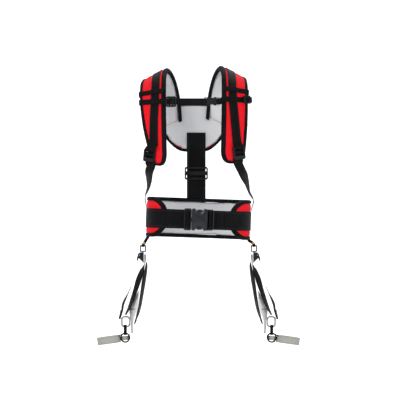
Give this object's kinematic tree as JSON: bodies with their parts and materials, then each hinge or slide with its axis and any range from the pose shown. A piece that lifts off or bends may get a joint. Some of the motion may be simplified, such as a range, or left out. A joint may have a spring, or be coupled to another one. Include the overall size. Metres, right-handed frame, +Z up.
{
  "type": "safety harness",
  "caption": "Body harness with padded shoulder straps, a padded waist belt and hip carry straps ending in hand bands, to take a carried load on the shoulders.",
  "frame": {"origin": "the middle of the wearer's waist, at the height of the middle of the belt webbing", "axes": "+Z up, +X to the right as seen from the front, so -Y is the front; left and right in names are as seen from the front"},
  "size_m": [0.5352, 0.2702, 0.7355],
  "materials": {
    "red_pad": "woven",
    "black_binding": "woven",
    "black_webbing": "woven",
    "grey_webbing": "woven",
    "white_webbing": "woven",
    "hand_webbing": "woven",
    "black_plastic": "satin moulded",
    "black_metal": "satin",
    "steel": "satin",
    "brass": "satin"
  },
  "bodies": {
    "harness": {"belt_pad": "red_pad", "belt_binding": "black_binding", "belt_webbing": "black_webbing", "waist_buckle_female": "black_plastic", "back_yoke": "red_pad", "spine_strap": "black_webbing", "pad_keepers": "black_webbing", "sternum_slider": "black_plastic", "sternum_webbing": "black_webbing", "sternum_buckle_female": "black_plastic", "sternum_triglide": "black_plastic", "hip_rivets": "brass", "shoulder_pad_left": "red_pad", "shoulder_pad_right": "red_pad", "shoulder_binding_left": "black_binding", "shoulder_binding_right": "black_binding", "shoulder_webbing_left": "black_webbing", "shoulder_webbing_right": "black_webbing", "sternum_keeper_left": "black_webbing", "sternum_keeper_right": "black_webbing", "lower_strap_left": "black_webbing", "lower_strap_right": "black_webbing", "hip_loop_left": "black_webbing", "hip_loop_right": "black_webbing"},
    "waist_male": {"waist_buckle_male": "black_plastic", "belt_tail": "black_webbing"},
    "waist_upper_prong": {"waist_prong_upper": "black_plastic"},
    "waist_lower_prong": {"waist_prong_lower": "black_plastic"},
    "sternum_male": {"sternum_buckle_male": "black_plastic"},
    "sternum_upper_prong": {"sternum_prong_upper": "black_plastic"},
    "sternum_lower_prong": {"sternum_prong_lower": "black_plastic"},
    "spine_slider": {"spine_adjuster": "black_plastic"},
    "lock_left": {"ladder_lock_left": "black_plastic"},
    "carry_left": {"hip_ring_left": "black_metal", "cam_frame_left": "black_metal", "cam_pin_left": "steel", "drop_strap_left": "black_webbing", "return_strap_left": "grey_webbing", "load_sling_left": "white_webbing", "strap_tail_left": "black_webbing", "steel_hook_left": "steel"},
    "lever_left": {"cam_lever_left": "black_plastic"},
    "gate_left": {"hook_gate_left": "steel"},
    "hand_left": {"connector_left": "black_webbing", "hand_band_left": "hand_webbing"},
    "lock_right": {"ladder_lock_right": "black_plastic"},
    "carry_right": {"hip_ring_right": "black_metal", "cam_frame_right": "black_metal", "cam_pin_right": "steel", "drop_strap_right": "black_webbing", "return_strap_right": "grey_webbing", "load_sling_right": "white_webbing", "strap_tail_right": "black_webbing", "steel_hook_right": "steel"},
    "lever_right": {"cam_lever_right": "black_plastic"},
    "gate_right": {"hook_gate_right": "steel"},
    "hand_right": {"connector_right": "black_webbing", "hand_band_right": "hand_webbing"}
  },
  "joints": [
    {"name": "waist_buckle_release", "type": "slide", "parent": "harness", "child": "waist_male", "axis": [-0.9994, 0, 0.0349], "range_m": [0, 0.035]},
    {"name": "waist_squeeze_upper", "type": "hinge", "parent": "waist_male", "child": "waist_upper_prong", "pos_m": [-0.01745, -0.11517, 0.01601], "axis": [0, 1, 0], "range_deg": [0, 8], "stiffness_Nm_per_rad": 0.6},
    {"name": "waist_squeeze_lower", "type": "hinge", "parent": "waist_male", "child": "waist_lower_prong", "pos_m": [-0.01853, -0.11517, -0.01475], "axis": [0, -1, 0], "range_deg": [0, 8], "stiffness_Nm_per_rad": 0.6},
    {"name": "sternum_buckle_release", "type": "slide", "parent": "harness", "child": "sternum_male", "axis": [-1, 0, 0], "range_m": [0, 0.02]},
    {"name": "sternum_squeeze_upper", "type": "hinge", "parent": "sternum_male", "child": "sternum_upper_prong", "pos_m": [0.024, -0.13125, 0.31294], "axis": [0, 1, 0], "range_deg": [0, 8], "stiffness_Nm_per_rad": 0.1},
    {"name": "sternum_squeeze_lower", "type": "hinge", "parent": "sternum_male", "child": "sternum_lower_prong", "pos_m": [0.024, -0.13125, 0.30106], "axis": [0, -1, 0], "range_deg": [0, 8], "stiffness_Nm_per_rad": 0.1},
    {"name": "spine_length_slide", "type": "slide", "parent": "harness", "child": "spine_slider", "axis": [0, 0, 1], "range_m": [-0.02, 0.02]},
    {"name": "ladder_lock_tilt_left", "type": "hinge", "parent": "harness", "child": "lock_left", "pos_m": [-0.1256, -0.112, 0.182], "axis": [-0.9013, 0.4203, 0.1045], "range_deg": [0, 40]},
    {"name": "carry_swing_left", "type": "hinge", "parent": "harness", "child": "carry_left", "pos_m": [-0.146, 0.012, -0.069], "axis": [1, 0, 0], "range_deg": [-60, 30]},
    {"name": "cam_lever_press_left", "type": "hinge", "parent": "carry_left", "child": "lever_left", "pos_m": [-0.155, 0.012, -0.094], "axis": [0, 1, 0], "range_deg": [0, 40], "stiffness_Nm_per_rad": 0.03},
    {"name": "hook_gate_open_left", "type": "hinge", "parent": "carry_left", "child": "gate_left", "pos_m": [-0.1815, 0.012, -0.2735], "axis": [0, -1, 0], "range_deg": [0, 25], "stiffness_Nm_per_rad": 0.01},
    {"name": "hand_band_swing_left", "type": "hinge", "parent": "carry_left", "child": "hand_left", "pos_m": [-0.1915, 0.012, -0.282], "axis": [1, 0, 0], "range_deg": [-45, 45]},
    {"name": "ladder_lock_tilt_right", "type": "hinge", "parent": "harness", "child": "lock_right", "pos_m": [0.104, -0.112, 0.188], "axis": [-0.9013, -0.4203, -0.1045], "range_deg": [0, 40]},
    {"name": "carry_swing_right", "type": "hinge", "parent": "harness", "child": "carry_right", "pos_m": [0.146, 0.012, -0.069], "axis": [1, 0, 0], "range_deg": [-60, 30]},
    {"name": "cam_lever_press_right", "type": "hinge", "parent": "carry_right", "child": "lever_right", "pos_m": [0.155, 0.012, -0.094], "axis": [0, -1, 0], "range_deg": [0, 40], "stiffness_Nm_per_rad": 0.03},
    {"name": "hook_gate_open_right", "type": "hinge", "parent": "carry_right", "child": "gate_right", "pos_m": [0.1815, 0.012, -0.2735], "axis": [0, 1, 0], "range_deg": [0, 25], "stiffness_Nm_per_rad": 0.01},
    {"name": "hand_band_swing_right", "type": "hinge", "parent": "carry_right", "child": "hand_right", "pos_m": [0.1915, 0.012, -0.282], "axis": [1, 0, 0], "range_deg": [-45, 45]}
  ],
  "couplings": [
    {"joint": "waist_squeeze_lower", "follows": "waist_squeeze_upper", "ratio": 1},
    {"joint": "sternum_squeeze_lower", "follows": "sternum_squeeze_upper", "ratio": 1}
  ]
}
